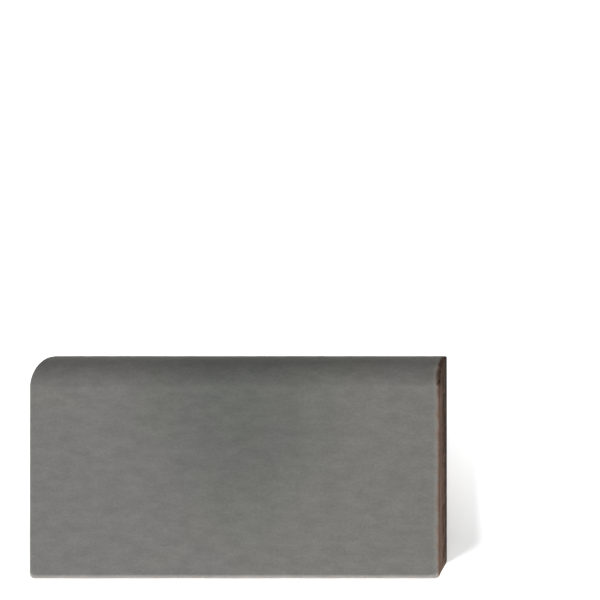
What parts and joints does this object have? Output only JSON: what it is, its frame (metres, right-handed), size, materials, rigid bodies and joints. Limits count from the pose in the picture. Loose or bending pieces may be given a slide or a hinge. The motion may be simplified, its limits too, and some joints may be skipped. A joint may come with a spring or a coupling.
{
  "type": "skirting tile",
  "caption": "Low rectangular skirting tile with a quarter-round top edge, a matt cement-grey face on a red-brown fired body, and a grooved back for bedding.",
  "frame": {"origin": "centre of the back, on the plane that the tile lies on", "axes": "+X along the wall, +Y from the foot to the rounded top edge, +Z from the back to the face"},
  "size_m": [0.15, 0.08, 0.012],
  "materials": {
    "cement_grey_matt_glaze": "matt cement-grey glaze on the face and the rounded top edge; bare red-brown fired clay on the ends, foot and back"
  },
  "bodies": {
    "root": {"skirting_tile": "cement_grey_matt_glaze"}
  },
  "joints": []
}
